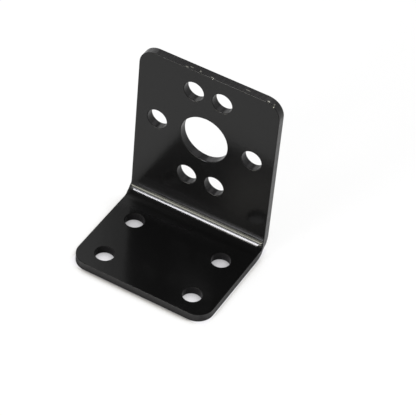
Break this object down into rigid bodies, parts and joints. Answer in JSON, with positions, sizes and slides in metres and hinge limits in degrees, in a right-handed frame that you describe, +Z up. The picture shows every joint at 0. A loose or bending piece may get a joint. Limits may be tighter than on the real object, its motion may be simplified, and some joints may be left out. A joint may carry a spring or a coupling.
{
  "type": "motor mounting bracket",
  "caption": "Folded sheet-steel L bracket, painted gloss black, with a motor bore, motor screw holes in its upright plate and screw holes in its base.",
  "frame": {"origin": "middle of the footprint, on the underside of the base", "axes": "+Z up along the motor plate, -Y from the plate towards the base's front edge, X across the strip"},
  "size_m": [0.025, 0.0202, 0.0314],
  "materials": {
    "black_paint": "gloss black paint on folded sheet steel, softened cut edges, light specks of wear along the top edge"
  },
  "bodies": {
    "root": {"bracket": "black_paint"}
  },
  "joints": []
}
